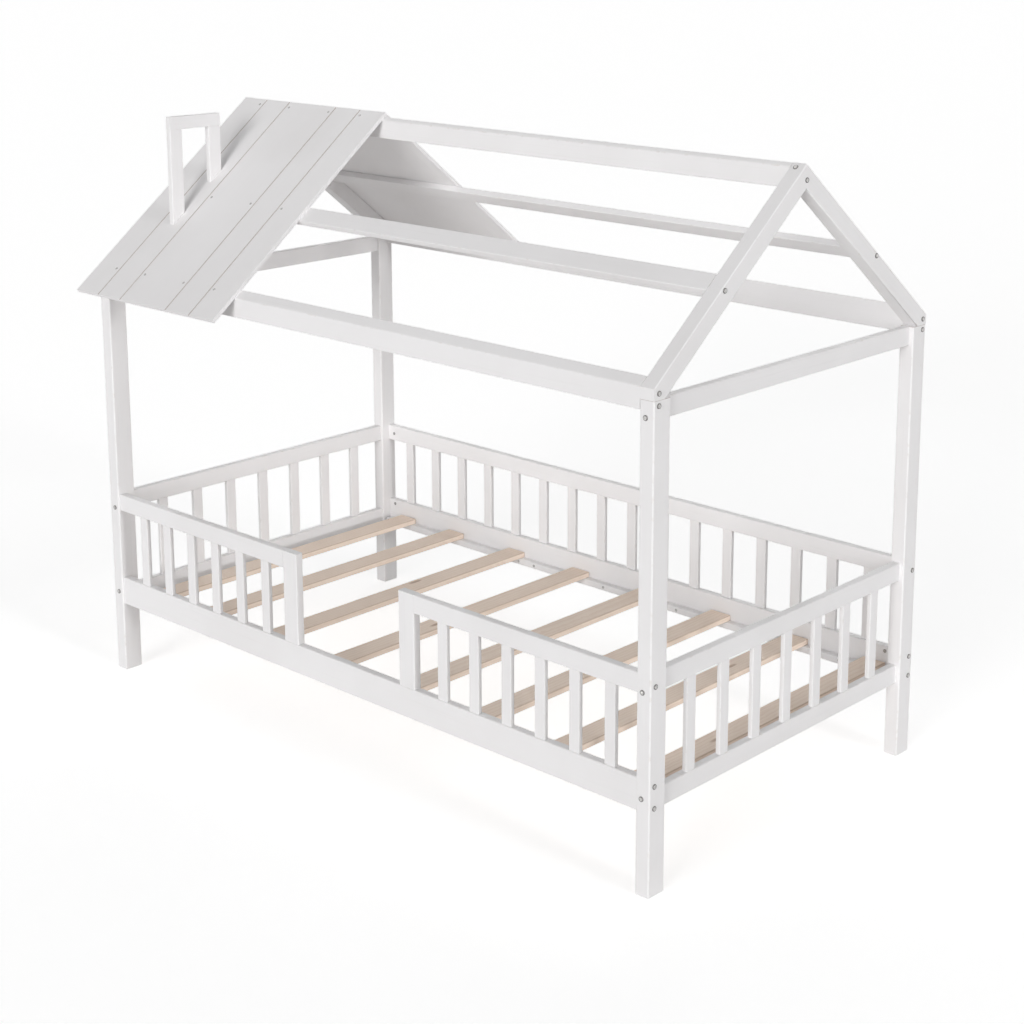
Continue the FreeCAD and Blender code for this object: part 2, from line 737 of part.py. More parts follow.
def group(label, shape, places):
    """One node holding a copy of a fastener at each place, pointing outward."""
    copies = []
    for position, outward in places:
        copy = shape.copy()
        copy.Placement = Placement(position, Rotation(AXES["Z"], outward))
        copies.append(copy)
    feature = doc.addObject("Part::Feature", label)
    feature.Label = label
    feature.Shape = Part.makeCompound(copies)


PURLIN_BOLT_Y = slope_y(PURLIN_BOLT, "(-purlin_thick / 2)")
PURLIN_BOLT_Z = slope_z(PURLIN_BOLT, "(-purlin_thick / 2)")
END_BOLTS = [
    (SIDE_RAIL_MIDDLE, GUARD_BOLT), (SIDE_RAIL_MIDDLE, UPPER_RAIL_BOLT),
    (SIDE_RAIL_MIDDLE, LOWER_RAIL_BOLT), (EAVE_BOLT_Y, POST_TOP_BOLT),
    (EAVE_BOLT_Y, NOSE_BOLT), (PURLIN_BOLT_Y, PURLIN_BOLT_Z),
]
SIDE_BOLTS = [
    (END_RAIL_MIDDLE, END_GUARD_BOLT), (END_RAIL_MIDDLE, END_RAIL_BOLT),
    (TIE_MIDDLE, TIE_BOLT),
]
NUT_HEIGHTS = [GUARD_BOLT] + RAIL_BOLTS

end_places, side_places, nut_places = [], [], []
for end in ENDS.values():
    outward = end * AXES["X"]
    end_places.append((point(signed(end, HALF_LENGTH), "0", RIDGE_BOLT), outward))
    for side in SIDES.values():
        for across, up in END_BOLTS:
            end_places.append((point(signed(end, HALF_LENGTH), signed(side, across), up), outward))
        for along, up in SIDE_BOLTS:
            position = point(signed(end, along), signed(side, HALF_WIDTH), up)
            side_places.append((position, side * AXES["Y"]))
        for up in NUT_HEIGHTS:
            position = point(signed(end, NUT_X), signed(side, SIDE_RAIL_INNER), up)
            nut_places.append((position, -side * AXES["Y"]))

group("bolts_end", bolt(value("post_thick + bolt_reach - bolt_hole_gap")), end_places)
group("bolts_side", bolt(value("post_wide + bolt_reach - bolt_hole_gap")), side_places)
group("barrel_nuts", barrel_nut(), nut_places)

front_slope = Vector(0, -value(RISE), 1).normalize()
mitre_at = point(
    TIE_MIDDLE, signed(-1, slope_y("mitre_bolt_from_ridge")), slope_z("mitre_bolt_from_ridge"),
)
group("mitre_bolt", bolt(value("mitre_bolt_long - bolt_hole_gap")), [(mitre_at, front_slope)])

# ---------------------------------------------------------------- write the pieces

doc.recompute()
failed = [item.Name for item in doc.Objects if {"Invalid", "Error"} & set(item.State)]
if failed:
    raise RuntimeError(f"features failed: {failed}")

for item in doc.Objects:
    if item.TypeId not in ("PartDesign::Body", "Part::Feature"):
        continue
    if item.Shape.isNull() or not item.Shape.isValid():
        raise RuntimeError(f"{item.Label}: the shape is not sound")
    item.Shape.exportStep(f"parts/{item.Label}.step")
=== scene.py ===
import math
import bmesh
import bpy
from mathutils import Matrix, Vector


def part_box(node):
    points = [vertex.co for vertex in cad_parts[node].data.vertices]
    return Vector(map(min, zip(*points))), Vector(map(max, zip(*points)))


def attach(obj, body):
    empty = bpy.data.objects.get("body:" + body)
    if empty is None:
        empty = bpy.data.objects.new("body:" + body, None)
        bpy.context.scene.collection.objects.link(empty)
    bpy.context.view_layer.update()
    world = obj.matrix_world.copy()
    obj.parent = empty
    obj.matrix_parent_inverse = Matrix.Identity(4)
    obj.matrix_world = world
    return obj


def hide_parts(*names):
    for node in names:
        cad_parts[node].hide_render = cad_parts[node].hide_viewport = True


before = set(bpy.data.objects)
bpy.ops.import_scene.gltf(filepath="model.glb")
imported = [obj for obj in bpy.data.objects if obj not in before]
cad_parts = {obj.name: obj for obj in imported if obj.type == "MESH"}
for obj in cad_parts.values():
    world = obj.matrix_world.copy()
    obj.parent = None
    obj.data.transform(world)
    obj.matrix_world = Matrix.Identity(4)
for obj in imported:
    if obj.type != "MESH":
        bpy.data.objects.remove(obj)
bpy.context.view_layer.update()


# ---------------------------------------------------------------------------------------------
# The studio: a wide pale floor, a pale sky, dimmer overhead, a broad key light low in front of
# the bed, a smaller one at its foot end and a broad weak one behind it. The camera stands off the
# near foot corner, above the ridge, and looks down only a little, so the posts stay nearly upright.

scene = bpy.context.scene
scene.view_settings.view_transform = "Standard"

camera_turn = math.radians(41.664)
camera_dip = math.radians(12.041)
camera_lean = math.radians(0.297)
camera_place = Vector((3.5143, -3.5573, 2.1616))

away = Vector((
    math.sin(camera_turn) * math.cos(camera_dip),
    -math.cos(camera_turn) * math.cos(camera_dip),
    math.sin(camera_dip),
))
level = Vector((math.cos(camera_turn), math.sin(camera_turn), 0))
upright = away.cross(level)
across = level * math.cos(camera_lean) + upright * math.sin(camera_lean)
upward = upright * math.cos(camera_lean) - level * math.sin(camera_lean)

camera = bpy.data.objects.new("camera", bpy.data.cameras.new("camera"))
camera.data.sensor_width = 36
camera.data.lens = 68.08
camera.data.shift_x = -0.0763
camera.data.shift_y = -0.1900
camera.data.clip_end = 400
camera_axes = Matrix((across, upward, away)).transposed()
camera.matrix_world = Matrix.Translation(camera_place) @ camera_axes.to_4x4()
scene.collection.objects.link(camera)
scene.camera = camera


def put(tree, kind, given=None, **settings):
    """One node of a material or of a Geometry Nodes tree, with its settings, values and links."""
    made = tree.nodes.new(kind)
    for setting, value in settings.items():
        setattr(made, setting, value)
    for socket, value in (given or {}).items():
        if isinstance(value, bpy.types.NodeSocket):
            tree.links.new(value, made.inputs[socket])
        else:
            made.inputs[socket].default_value = value
    return made


def seen_directly(tree):
    """1 to the camera and to reflections, and 0 to what the surface or sky lights."""
    ray = put(tree, "ShaderNodeLightPath")
    return put(tree, "ShaderNodeMath",
               {0: ray.outputs["Is Camera Ray"], 1: ray.outputs["Is Glossy Ray"]},
               operation="MAXIMUM").outputs[0]


def new_material(name):
    """A material, and its node tree, emptied."""
    material = bpy.data.materials.new(name)
    material.use_nodes = True
    material.node_tree.nodes.clear()
    return material, material.node_tree


def soft_light(name, towards, share, spread):
    """A broad studio light, which gives this share of the light on a surface that faces it."""
    lamp = bpy.data.lights.new(name, "SUN")
    lamp.energy = share * math.pi
    lamp.angle = math.radians(spread)
    lit = bpy.data.objects.new(name, lamp)
    lit.rotation_euler = Vector(towards).to_track_quat("Z", "Y").to_euler()
    scene.collection.objects.link(lit)


soft_light("key_light", (0.25, -0.95, 0.16), 0.56, 26)
soft_light("foot_light", (1.0, -0.04, 0.20), 0.29, 9)
soft_light("back_light", (-0.55, 0.80, 0.08), 0.43, 50)

horizon_share = 0.46
zenith_share = 0.24
sky = bpy.data.worlds.new("pale_sky")
sky.use_nodes = True
sky.node_tree.nodes.clear()
looking = put(sky.node_tree, "ShaderNodeTexCoord")
height = put(sky.node_tree, "ShaderNodeSeparateXYZ", {"Vector": looking.outputs["Generated"]})
share = put(sky.node_tree, "ShaderNodeMapRange",
            {"Value": height.outputs["Z"], "To Min": horizon_share, "To Max": zenith_share})
strength = put(sky.node_tree, "ShaderNodeMapRange",
               {"Value": seen_directly(sky.node_tree), "To Min": share.outputs["Result"], "To Max": 1.0})
glow = put(sky.node_tree, "ShaderNodeBackground",
           {"Color": (1, 1, 1, 1), "Strength": strength.outputs["Result"]})
put(sky.node_tree, "ShaderNodeOutputWorld", {"Surface": glow.outputs[0]})
scene.world = sky

floor_reach = 150
floor_lift = 0.515
floor_corners = [(x * floor_reach, y * floor_reach, 0) for x, y in ((-1, -1), (1, -1), (1, 1), (-1, 1))]
floor_mesh = bpy.data.meshes.new("floor")
floor_mesh.from_pydata(floor_corners, [], [(0, 1, 2, 3)])
floor = bpy.data.objects.new("floor", floor_mesh)
scene.collection.objects.link(floor)
floor_paint, tree = new_material("pale_floor")
lift = put(tree, "ShaderNodeMath", {0: seen_directly(tree), 1: floor_lift}, operation="MULTIPLY")
floor_skin = put(tree, "ShaderNodeBsdfPrincipled",
                 {"Base Color": (0.92, 0.92, 0.92, 1), "Roughness": 0.95, "Specular IOR Level": 0.0,
                  "Emission Color": (1, 1, 1, 1), "Emission Strength": lift.outputs[0]})
put(tree, "ShaderNodeOutputMaterial", {"Surface": floor_skin.outputs[0]})
floor_mesh.materials.append(floor_paint)


# ---------------------------------------------------------------------------------------------
# Four corner posts: straight square-sawn softwood, planed, with well rounded arrises and a
# chamfered foot, sprayed in white satin paint. The grain stands up the post and shows faintly
# through the paint, and the arrises are rubbed a little thin.

paint_white = (0.880, 0.868, 0.872, 1)
paint_warm = (0.850, 0.836, 0.838, 1)
paint_line = (0.770, 0.752, 0.748, 1)
rubbed_wood = (0.660, 0.600, 0.550, 1)
# Dark brown painted shade for the seams between timbers and the V-joints of the panels.
joint_painted_shade = (0.480, 0.420, 0.390, 1)


def new_group(name, inputs, outputs):
    """An empty shader node group with these inputs and outputs, and its two end nodes."""
    group = bpy.data.node_groups.new(name, "ShaderNodeTree")
    for label, kind in inputs:
        group.interface.new_socket(name=label, in_out="INPUT", socket_type=kind)
    for label, kind in outputs:
        group.interface.new_socket(name=label, in_out="OUTPUT", socket_type=kind)
    return group, group.nodes.new("NodeGroupInput"), group.nodes.new("NodeGroupOutput")


def mixed(tree, share, first, second):
    """The colour that lies this share of the way from the first colour to the second."""
    return put(tree, "ShaderNodeMix", {0: share, 6: first, 7: second}, data_type="RGBA").outputs[2]


def between(tree, value, low, high, to_low=0.0, to_high=1.0):
    """A value that rises smoothly from to_low at low to to_high at high."""
    return put(tree, "ShaderNodeMapRange",
               {"Value": value, "From Min": low, "From Max": high, "To Min": to_low, "To Max": to_high},
               interpolation_type="SMOOTHSTEP").outputs["Result"]


def product(tree, first, second):
    return put(tree, "ShaderNodeMath", {0: first, 1: second}, operation="MULTIPLY").outputs[0]


def noise(tree, place, scale, detail=3.0, roughness=0.55, distortion=0.0):
    return put(tree, "ShaderNodeTexNoise",
               {"Vector": place, "Scale": scale, "Detail": detail, "Roughness": roughness,
                "Distortion": distortion}).outputs["Fac"]


painted_wood, given, put_out = new_group(
    "painted_wood",
    [("Grain Place", "NodeSocketVector"), ("Place", "NodeSocketVector"), ("Arris", "NodeSocketFloat")],
    [("Color", "NodeSocketColor"), ("Roughness", "NodeSocketFloat"), ("Height", "NodeSocketFloat")],
)
fibres = noise(painted_wood, given.outputs["Grain Place"], 1.0, 5.0, 0.62, 0.25)
tone = noise(painted_wood, given.outputs["Place"], 3.2, 3.0)
spray = noise(painted_wood, given.outputs["Place"], 520.0, 2.0)
rub = noise(painted_wood, given.outputs["Place"], 46.0, 4.0, 0.6)
coat = mixed(painted_wood, between(painted_wood, tone, 0.35, 0.72), paint_white, paint_warm)
lines = product(painted_wood, between(painted_wood, fibres, 0.54, 0.76), 0.26)
coat = mixed(painted_wood, lines, coat, paint_line)
thin = product(painted_wood, given.outputs["Arris"], between(painted_wood, rub, 0.52, 0.74, 0.0, 0.35))
coat = mixed(painted_wood, thin, coat, rubbed_wood)
painted_wood.links.new(coat, put_out.inputs["Color"])
painted_wood.links.new(between(painted_wood, tone, 0.3, 0.7, 0.46, 0.58), put_out.inputs["Roughness"])
relief = put(painted_wood, "ShaderNodeMath", {0: fibres, 1: 0.75, 2: product(painted_wood, spray, 0.25)},
             operation="MULTIPLY_ADD")
painted_wood.links.new(relief.outputs[0], put_out.inputs["Height"])


def grain_place(tree, turn, long=0.30, fine=0.0042):
    """Object coordinates, turned so that X runs along the grain, and stretched along it."""
    place = put(tree, "ShaderNodeTexCoord")
    along = put(tree, "ShaderNodeMapping",
                {"Vector": place.outputs["Object"], "Rotation": turn, "Scale": (long, fine, fine)},
                vector_type="TEXTURE")
    return place.outputs["Object"], along.outputs["Vector"]


def white_paint(name, turn):
    """Satin white paint on timber whose grain runs the way that this turn brings X to. On faces
    that are marked as joints it is darkened brown, a painted shade in the seams and V-joints."""
    material, tree = new_material(name)
    place, along = grain_place(tree, turn)
    arris = put(tree, "ShaderNodeAttribute", attribute_name="arris")
    wood = put(tree, "ShaderNodeGroup", node_tree=painted_wood)
    tree.links.new(along, wood.inputs["Grain Place"])
    tree.links.new(place, wood.inputs["Place"])
    tree.links.new(arris.outputs["Fac"], wood.inputs["Arris"])
    joint = put(tree, "ShaderNodeAttribute", attribute_name="joint")
    # Faces marked as joints are darkened brown: painted shade in the seams and V-joints.
    coat = mixed(tree, product(tree, joint.outputs["Fac"], 0.85), wood.outputs["Color"], joint_painted_shade)
    bump = put(tree, "ShaderNodeBump",
               {"Strength": 0.35, "Distance": 0.0005, "Height": wood.outputs["Height"]})
    skin = put(tree, "ShaderNodeBsdfPrincipled",
               {"Base Color": coat, "Roughness": wood.outputs["Roughness"],
                "Specular IOR Level": 0.22, "Normal": bump.outputs["Normal"]})
    put(tree, "ShaderNodeOutputMaterial", {"Surface": skin.outputs[0]})
    return material


quarter = math.pi / 2
paint_upright = white_paint("white_paint_upright", (0, -quarter, 0))


def eased(shape, narrow=0.0045):
    """A plain mesh from this shape: rounded places shade round, and flat faces stay flat.
    Faces narrower than this are marked as arrises, for the paint's wear."""
    mark = shape.faces.layers.float.get("arris") or shape.faces.layers.float.new("arris")
    for face in shape.faces:
        longest = max(edge.calc_length() for edge in face.edges)
        face[mark] = 1.0 if face.calc_area() < narrow * longest else 0.0
        face.smooth = True
    rough = bpy.data.meshes.new("rough")
    shape.to_mesh(rough)
    shape.free()
    rough.set_sharp_from_angle(angle=math.radians(38))
    bench = bpy.data.objects.new("bench", rough)
    scene.collection.objects.link(bench)
    evener = bench.modifiers.new("even", "WEIGHTED_NORMAL")
    evener.keep_sharp = True
    mesh = bpy.data.meshes.new_from_object(bench.evaluated_get(bpy.context.evaluated_depsgraph_get()))
    bench.modifiers.remove(evener)
    bpy.data.objects.remove(bench)
    bpy.data.meshes.remove(rough)
    return mesh


def sawn(node):
    """The timber of one node as clean faces."""
    shape = bmesh.new()
    shape.from_mesh(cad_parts[node].data)
    bmesh.ops.remove_doubles(shape, verts=shape.verts, dist=2e-6)
    bmesh.ops.dissolve_limit(shape, angle_limit=math.radians(0.4), verts=shape.verts, edges=shape.edges)
    return shape


def rounded(shape, radius, smallest=3.3e-4):
    """Long outside edges eased to this radius. Edges of holes and mortises stay crisp."""
    edges = [
        edge for edge in shape.edges
        if len(edge.link_faces) == 2 and edge.is_convex and edge.calc_face_angle() > 0.35
        and min(face.calc_area() for face in edge.link_faces) > smallest
    ]
    bmesh.ops.bevel(shape, geom=edges, offset=radius, offset_type="OFFSET", segments=2,
                    profile=0.5, affect="EDGES", clamp_overlap=True)
    return shape


def seamed(shape, height, reach=0.0012):
    """Marks the eased edges that meet another timber at this height, which the paint darkens
    as a painted shadow line in the seam.
    """
    joint = shape.faces.layers.float.new("joint")
    for face in shape.faces:
        if abs(face.normal.z) < 0.95 and all(abs(vert.co.z - height) < reach for vert in face.verts):
            face[joint] = 1.0
    return shape


def fitted(name, mesh, finish, slot, *stands_for):
    """The finished piece, fixed in the bed in place of the plain solids that it stands for."""
    mesh.name = name
    mesh.materials.clear()
    mesh.materials.append(finish)
    piece = bpy.data.objects.new(name, mesh)
    scene.collection.objects.link(piece)
    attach(piece, "root")
    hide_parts(*stands_for)
    return piece


arris_easing = 0.0009
post_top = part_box("post_front_left")[1].z
for corner in ("front_left", "front_right", "back_left", "back_right"):
    node = "post_" + corner
    # The eased edges at the post top are marked for a painted shadow line at the seam.
    shape = seamed(rounded(sawn(node), arris_easing), post_top)
    fitted("corner_" + corner, eased(shape), paint_upright, "white_paint", node)


# ---------------------------------------------------------------------------------------------
# Two long side rails and two end rails at mattress height: planed boards on edge, cut square
# and pulled against the posts by bolts in barrel nuts. Their top edges carry the mortises of
# the balusters. Painted as the posts are, with the grain along each board.

def planed(name, node, finish, smallest=3.3e-4):
    """One painted timber with eased arrises, in place of its node."""
    shape = rounded(sawn(node), arris_easing, smallest)
    return fitted(name, eased(shape), finish, "white_paint", node)


paint_lengthways = white_paint("white_paint_lengthways", (0, 0, 0))
paint_crossways = white_paint("white_paint_crossways", (0, 0, quarter))

for side in ("front", "back"):
    planed("long_board_" + side, "side_rail_" + side, paint_lengthways)
for end in ("left", "right"):
    planed("end_board_" + end, "end_rail_" + end, paint_crossways)


# ---------------------------------------------------------------------------------------------
# Five guard rails along the top of the fences, and the two flat stiles that stand on the front
# rail at the sides of the entrance: planed battens with eased edges, painted white.

for place in ("back", "front_left", "front_right"):
    planed("fence_cap_" + place, "guard_rail_" + place, paint_lengthways)
for end in ("left", "right"):
    planed("fence_cap_" + end, "guard_rail_" + end, paint_crossways)
for side in ("left", "right"):
    planed("entrance_stile_" + side, "stile_" + side, paint_upright)


# ---------------------------------------------------------------------------------------------
# The balusters: flat painted laths with rounded corners, 32 by 12 mm, let into shallow
# mortises in the rail below and the cap above. Each row is one run of equal spaces.

def new_tree(name, inputs):
    """An empty Geometry Nodes tree with these named inputs, and its two end nodes."""
    tree = bpy.data.node_groups.new(name, "GeometryNodeTree")
    for label, kind in inputs:
        tree.interface.new_socket(name=label, in_out="INPUT", socket_type=kind)
    tree.interface.new_socket(name="Geometry", in_out="OUTPUT", socket_type="NodeSocketGeometry")
    return tree, tree.nodes.new("NodeGroupInput"), tree.nodes.new("NodeGroupOutput")


def worked(tree, marks, sizes):
    """What a Geometry Nodes tree makes of these marks with these sizes, as loose faces to work on."""
    holder = bpy.data.objects.new("holder", marks)
    scene.collection.objects.link(holder)
    maker = holder.modifiers.new("maker", "NODES")
    maker.node_group = tree
    for socket in tree.interface.items_tree:
        if socket.in_out == "INPUT" and socket.name in sizes:
            maker[socket.identifier] = sizes[socket.name]
    made = bpy.data.meshes.new_from_object(holder.evaluated_get(bpy.context.evaluated_depsgraph_get()))
    holder.modifiers.remove(maker)
    bpy.data.objects.remove(holder)
    shape = bmesh.new()
    shape.from_mesh(made)
    bpy.data.meshes.remove(made)
    return shape


def rounded_bar(tree, wide, high, radius, length):
    """A closed bar of this section, its corners rounded, that stands on XY and runs up Z."""
    section = put(tree, "GeometryNodeCurvePrimitiveQuadrilateral", {"Width": wide, "Height": high})
    section = put(tree, "GeometryNodeFilletCurve",
                  {"Curve": section.outputs[0], "Count": 3, "Radius": radius}, mode="POLY")
    section = put(tree, "GeometryNodeFillCurve", {"Curve": section.outputs[0]}, mode="NGONS")
    run = put(tree, "ShaderNodeCombineXYZ", {"Z": length})
    raised = put(tree, "GeometryNodeExtrudeMesh",
                 {"Mesh": section.outputs[0], "Offset": run.outputs[0], "Individual": False}, mode="FACES")
    foot = put(tree, "GeometryNodeFlipFaces", {"Mesh": section.outputs[0]})
    joined = put(tree, "GeometryNodeJoinGeometry")
    tree.links.new(raised.outputs["Mesh"], joined.inputs[0])
    tree.links.new(foot.outputs[0], joined.inputs[0])
    return put(tree, "GeometryNodeMergeByDistance",
               {"Geometry": joined.outputs[0], "Distance": 1e-5}).outputs[0]


lath_row, sizes, row_out = new_tree("lath_row", [
    ("Geometry", "NodeSocketGeometry"), ("Count", "NodeSocketInt"), ("First", "NodeSocketVector"),
    ("Step", "NodeSocketVector"), ("Size Along X", "NodeSocketFloat"), ("Size Along Y", "NodeSocketFloat"),
    ("Height", "NodeSocketFloat"), ("Corner Radius", "NodeSocketFloat"), ("Paint", "NodeSocketMaterial")])
lath = rounded_bar(lath_row, sizes.outputs["Size Along X"], sizes.outputs["Size Along Y"],
                   sizes.outputs["Corner Radius"], sizes.outputs["Height"])
places = put(lath_row, "GeometryNodeMeshLine",
             {"Count": sizes.outputs["Count"], "Start Location": sizes.outputs["First"],
              "Offset": sizes.outputs["Step"]}, mode="OFFSET")
laths = put(lath_row, "GeometryNodeInstanceOnPoints", {"Points": places.outputs[0], "Instance": lath})
laths = put(lath_row, "GeometryNodeRealizeInstances", {"Geometry": laths.outputs[0]})
laths = put(lath_row, "GeometryNodeSetMaterial",
            {"Geometry": laths.outputs[0], "Material": sizes.outputs["Paint"]})
lath_row.links.new(laths.outputs[0], row_out.inputs[0])

lath_width = 0.032
lath_thickness = 0.012
lath_corner = 0.0020
for row, count in (("back", 16), ("left", 7), ("right", 7), ("front_left", 6), ("front_right", 6)):
    low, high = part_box("balusters_" + row)
    along = 1 if row in ("left", "right") else 0
    first = Vector((low + high) / 2)
    first[along] = low[along] + lath_width / 2
    first.z = low.z
    step = Vector((0, 0, 0))
    step[along] = (high[along] - low[along] - lath_width) / (count - 1)
    shape = worked(lath_row, bpy.data.meshes.new("marks"), {
        "Count": count, "First": first, "Step": step, "Height": high.z - low.z,
        "Size Along X": lath_thickness if along else lath_width,
        "Size Along Y": lath_width if along else lath_thickness,
        "Corner Radius": lath_corner, "Paint": paint_upright})
    fitted("laths_" + row, eased(shape, lath_corner), paint_upright, "white_paint", "balusters_" + row)


# ---------------------------------------------------------------------------------------------
# Two slat ledgers: slim painted battens along the inside of the side rails, flush with the
# rails' lower edge, each held by eight countersunk cross-head screws of zinc plated steel.

for side in ("front", "back"):
    planed("slat_bearer_" + side, "ledger_" + side, paint_lengthways)

brushed_metal, given, put_out = new_group(
    "brushed_metal",
    [("Place", "NodeSocketVector"), ("Bright", "NodeSocketColor"), ("Dull", "NodeSocketColor")],
    [("Color", "NodeSocketColor"), ("Roughness", "NodeSocketFloat"), ("Height", "NodeSocketFloat")],
)
cloud = noise(brushed_metal, given.outputs["Place"], 180.0, 4.0, 0.6)
scratch = noise(brushed_metal, given.outputs["Place"], 1900.0, 2.0, 0.7)
cloudy = between(brushed_metal, cloud, 0.35, 0.70)
brushed_metal.links.new(mixed(brushed_metal, cloudy, given.outputs["Bright"], given.outputs["Dull"]),
                        put_out.inputs["Color"])
brushed_metal.links.new(between(brushed_metal, cloud, 0.3, 0.7, 0.24, 0.44), put_out.inputs["Roughness"])
brushed_metal.links.new(scratch, put_out.inputs["Height"])


def steel(name, bright, dull):
    """Plated steel, a little cloudy, with fine turning marks. Faces marked as the rim are
    darkened nearly to black: a painted shadow ring around the head.
    """
    material, tree = new_material(name)
    place = put(tree, "ShaderNodeTexCoord")
    metal = put(tree, "ShaderNodeGroup", node_tree=brushed_metal)
    tree.links.new(place.outputs["Object"], metal.inputs["Place"])
    metal.inputs["Bright"].default_value = bright
    metal.inputs["Dull"].default_value = dull
    rim = put(tree, "ShaderNodeAttribute", attribute_name="rim")
    # The rim faces are darkened towards near-black: a painted shadow ring around each head.
    plating_with_rim_shadow = mixed(tree, product(tree, rim.outputs["Fac"], 0.75), metal.outputs["Color"], rim_painted_shadow)
    bump = put(tree, "ShaderNodeBump",
               {"Strength": 0.2, "Distance": 0.0001, "Height": metal.outputs["Height"]})
    skin = put(tree, "ShaderNodeBsdfPrincipled",
               {"Base Color": plating_with_rim_shadow, "Roughness": metal.outputs["Roughness"],
                "Metallic": 1.0, "Normal": bump.outputs["Normal"]})
    put(tree, "ShaderNodeOutputMaterial", {"Surface": skin.outputs[0]})
    return material


# Near-black painted shadow for the rims of the fastener heads, where a counterbore's shade would fall.
rim_painted_shadow = (0.10, 0.095, 0.09, 1)
zinc = steel("zinc_steel", (0.56, 0.55, 0.54, 1), (0.38, 0.37, 0.36, 1))

heads_at_marks, sizes, heads_out = new_tree("heads_at_marks", [
    ("Geometry", "NodeSocketGeometry"), ("Head", "NodeSocketObject"), ("Head Diameter", "NodeSocketFloat"),
    ("Head Height", "NodeSocketFloat"), ("Turn Seed", "NodeSocketInt"), ("Metal", "NodeSocketMaterial")])
facing = put(heads_at_marks, "GeometryNodeInputNamedAttribute", {"Name": "facing"},
             data_type="FLOAT_VECTOR")
aimed = put(heads_at_marks, "FunctionNodeAlignRotationToVector", {"Vector": facing.outputs[0]}, axis="Z")
chance = put(heads_at_marks, "FunctionNodeRandomValue", {"Seed": sizes.outputs["Turn Seed"]},
             data_type="FLOAT")
angle = put(heads_at_marks, "ShaderNodeMath", {0: chance.outputs[1], 1: math.tau}, operation="MULTIPLY")
spin = put(heads_at_marks, "FunctionNodeAxisAngleToRotation",
           {"Axis": (0, 0, 1), "Angle": angle.outputs[0]})
turned = put(heads_at_marks, "FunctionNodeRotateRotation",
             {0: aimed.outputs[0], 1: spin.outputs[0]}, rotation_space="LOCAL")
head = put(heads_at_marks, "GeometryNodeObjectInfo", {"Object": sizes.outputs["Head"]})
scale = put(heads_at_marks, "ShaderNodeCombineXYZ",
            {"X": sizes.outputs["Head Diameter"], "Y": sizes.outputs["Head Diameter"],
             "Z": sizes.outputs["Head Height"]})
heads = put(heads_at_marks, "GeometryNodeInstanceOnPoints",
            {"Points": sizes.outputs["Geometry"], "Instance": head.outputs["Geometry"],
             "Rotation": turned.outputs[0], "Scale": scale.outputs[0]})
heads = put(heads_at_marks, "GeometryNodeRealizeInstances", {"Geometry": heads.outputs[0]})
heads = put(heads_at_marks, "GeometryNodeSetMaterial",
            {"Geometry": heads.outputs[0], "Material": sizes.outputs["Metal"]})
heads_at_marks.links.new(heads.outputs[0], heads_out.inputs[0])


def marked(marks):
    """A mesh of bare points, one for each (place, facing) pair."""
    mesh = bpy.data.meshes.new("marks")
    mesh.from_pydata([place for place, facing in marks], [], [])
    facings = mesh.attributes.new("facing", "FLOAT_VECTOR", "POINT")
    for entry, (place, facing) in zip(facings.data, marks):
        entry.vector = facing
    return mesh


def turned_head(name, outer, recess, sides=24, rim_inside=0.41):
    """A fastener's head of diameter 1 and height 1: rings of (radius, height) from its seat to
    its crown, then a drive recess whose outline is a function of the angle. Outside rim_inside
    it is marked as its rim, which the steel darkens as a painted shadow ring."""
    shape = bmesh.new()
    rim = shape.faces.layers.float.new("rim")
    turns = [math.tau * i / sides for i in range(sides)]
    profile = [([radius] * sides, height) for radius, height in outer]
    for shrink, height in ((1.0, outer[-1][1]), (0.92, outer[-1][1] - 0.55)):
        profile.append(([shrink * recess(turn) for turn in turns], height))
    rings = [
        [shape.verts.new((radius * math.cos(turn), radius * math.sin(turn), height))
         for radius, turn in zip(radii, turns)]
        for radii, height in profile
    ]
    for ring, (lower, upper) in enumerate(zip(rings, rings[1:])):
        for i in range(sides):
            j = (i + 1) % sides
            face = shape.faces.new((lower[i], lower[j], upper[j], upper[i]))
            face[rim] = 1.0 if ring + 1 < len(outer) and outer[ring + 1][0] > rim_inside else 0.0
    shape.faces.new(rings[-1])
    shape.faces.new(list(reversed(rings[0])))
    for face in shape.faces:
        face.smooth = True
    mesh = bpy.data.meshes.new(name)
    shape.to_mesh(mesh)
    shape.free()
    head = bpy.data.objects.new(name, mesh)
    scene.collection.objects.link(head)
    return head


def cross(angle):
    """Outline of a cross recess: four narrow arms."""
    return 0.30 if (math.degrees(angle) + 7.5) % 90 < 16 else 0.13


def hexagon(angle):
    """Outline of a hexagon socket."""
    return 0.200 / math.cos((angle % (math.pi / 3)) - math.pi / 6)


def heads_fitted(name, head, marks, diameter, height, metal, slot, *stands_for):
    shape = worked(heads_at_marks, marked(marks), {
        "Head": head, "Head Diameter": diameter, "Head Height": height, "Turn Seed": 7, "Metal": metal})
    return fitted(name, eased(shape, 0.0), metal, slot, *stands_for)


screw_head = turned_head(
    "screw_head", [(0.40, -0.6), (0.50, 0.30), (0.49, 0.60), (0.40, 0.88), (0.34, 1.0)], cross)

bearer_screw_height = 0.210
bearer_screw_places = (-0.927, -0.649, -0.365, -0.301, -0.023, 0.252, 0.529, 0.806)
inner_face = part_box("ledger_back")[0].y
marks = []
for x in bearer_screw_places:
    marks.append(((x, inner_face, bearer_screw_height), (0, -1, 0)))
    marks.append(((x, -inner_face, bearer_screw_height), (0, 1, 0)))
heads_fitted("bearer_screws", screw_head, marks, 0.0085, 0.0010, zinc, "bolt_steel")


# ---------------------------------------------------------------------------------------------
# Eight bed slats: flat-sawn pine boards, 68 by 16 mm, planed and left bare. They lie on the
# ledgers. Broad growth rings, fine fibres and a few small knots, darker along the sawn edges.

